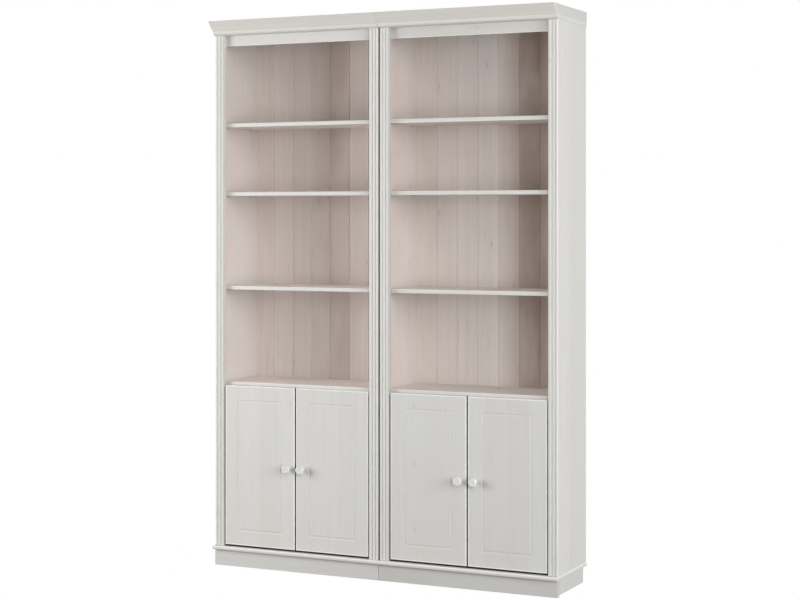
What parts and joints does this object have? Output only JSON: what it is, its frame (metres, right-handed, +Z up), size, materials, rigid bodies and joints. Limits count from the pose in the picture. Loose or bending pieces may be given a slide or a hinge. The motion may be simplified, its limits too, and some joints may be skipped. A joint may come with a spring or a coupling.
{
  "type": "bookcase",
  "caption": "Tall painted bookcase with loose shelves on pins above panelled cupboard doors, fluted stiles, a boarded back and a slanted crown.",
  "frame": {"origin": "on the floor, in the middle of the bounding box's width and depth, between the two units", "axes": "+Z up, -Y out of the fronts and doors, +X to the right as seen from the front"},
  "size_m": [1.502, 0.368, 2.225],
  "materials": {
    "painted_wood": "satin white paint",
    "bare_wood": "unfinished pine",
    "steel_fittings": "nickel-plated steel"
  },
  "bodies": {
    "cases": {"left_unit_plinth_front": "painted_wood", "left_unit_plinth_rails": "painted_wood", "left_unit_base_board": "painted_wood", "left_unit_side_left": "painted_wood", "left_unit_side_right": "painted_wood", "left_unit_stile_left": "painted_wood", "left_unit_stile_right": "painted_wood", "left_unit_deck": "painted_wood", "left_unit_back_boards": "painted_wood", "left_unit_valance": "painted_wood", "left_unit_top_board": "painted_wood", "left_unit_crown_front": "painted_wood", "left_unit_crown_cheeks": "painted_wood", "left_unit_shelf_top": "painted_wood", "left_unit_shelf_middle": "painted_wood", "left_unit_shelf_low": "painted_wood", "left_unit_cupboard_shelf": "painted_wood", "right_unit_plinth_front": "painted_wood", "right_unit_plinth_rails": "painted_wood", "right_unit_base_board": "painted_wood", "right_unit_side_left": "painted_wood", "right_unit_side_right": "painted_wood", "right_unit_stile_left": "painted_wood", "right_unit_stile_right": "painted_wood", "right_unit_deck": "painted_wood", "right_unit_back_boards": "painted_wood", "right_unit_valance": "painted_wood", "right_unit_top_board": "painted_wood", "right_unit_crown_front": "painted_wood", "right_unit_crown_cheeks": "painted_wood", "right_unit_shelf_top": "painted_wood", "right_unit_shelf_middle": "painted_wood", "right_unit_shelf_low": "painted_wood", "right_unit_cupboard_shelf": "painted_wood", "shelf_pins": "steel_fittings", "hinge_blocks": "bare_wood", "hinge_plates": "steel_fittings", "hinge_arms": "steel_fittings"},
    "left_unit_left_leaf": {"left_unit_left_door": "painted_wood", "left_unit_left_knob": "painted_wood", "left_unit_left_door_screws": "steel_fittings", "left_unit_left_hinge_cups": "steel_fittings"},
    "left_unit_right_leaf": {"left_unit_right_door": "painted_wood", "left_unit_right_knob": "painted_wood", "left_unit_right_door_screws": "steel_fittings", "left_unit_right_hinge_cups": "steel_fittings"},
    "right_unit_left_leaf": {"right_unit_left_door": "painted_wood", "right_unit_left_knob": "painted_wood", "right_unit_left_door_screws": "steel_fittings", "right_unit_left_hinge_cups": "steel_fittings"},
    "right_unit_right_leaf": {"right_unit_right_door": "painted_wood", "right_unit_right_knob": "painted_wood", "right_unit_right_door_screws": "steel_fittings", "right_unit_right_hinge_cups": "steel_fittings"}
  },
  "joints": [
    {"name": "left_unit_left_door_hinge", "type": "hinge", "parent": "cases", "child": "left_unit_left_leaf", "pos_m": [-0.702, -0.126, 0.4126], "axis": [0, 0, -1], "range_deg": [0, 90]},
    {"name": "left_unit_right_door_hinge", "type": "hinge", "parent": "cases", "child": "left_unit_right_leaf", "pos_m": [-0.049, -0.126, 0.4126], "axis": [0, 0, 1], "range_deg": [0, 90]},
    {"name": "right_unit_left_door_hinge", "type": "hinge", "parent": "cases", "child": "right_unit_left_leaf", "pos_m": [0.049, -0.126, 0.4126], "axis": [0, 0, -1], "range_deg": [0, 90]},
    {"name": "right_unit_right_door_hinge", "type": "hinge", "parent": "cases", "child": "right_unit_right_leaf", "pos_m": [0.702, -0.126, 0.4126], "axis": [0, 0, 1], "range_deg": [0, 90]}
  ]
}
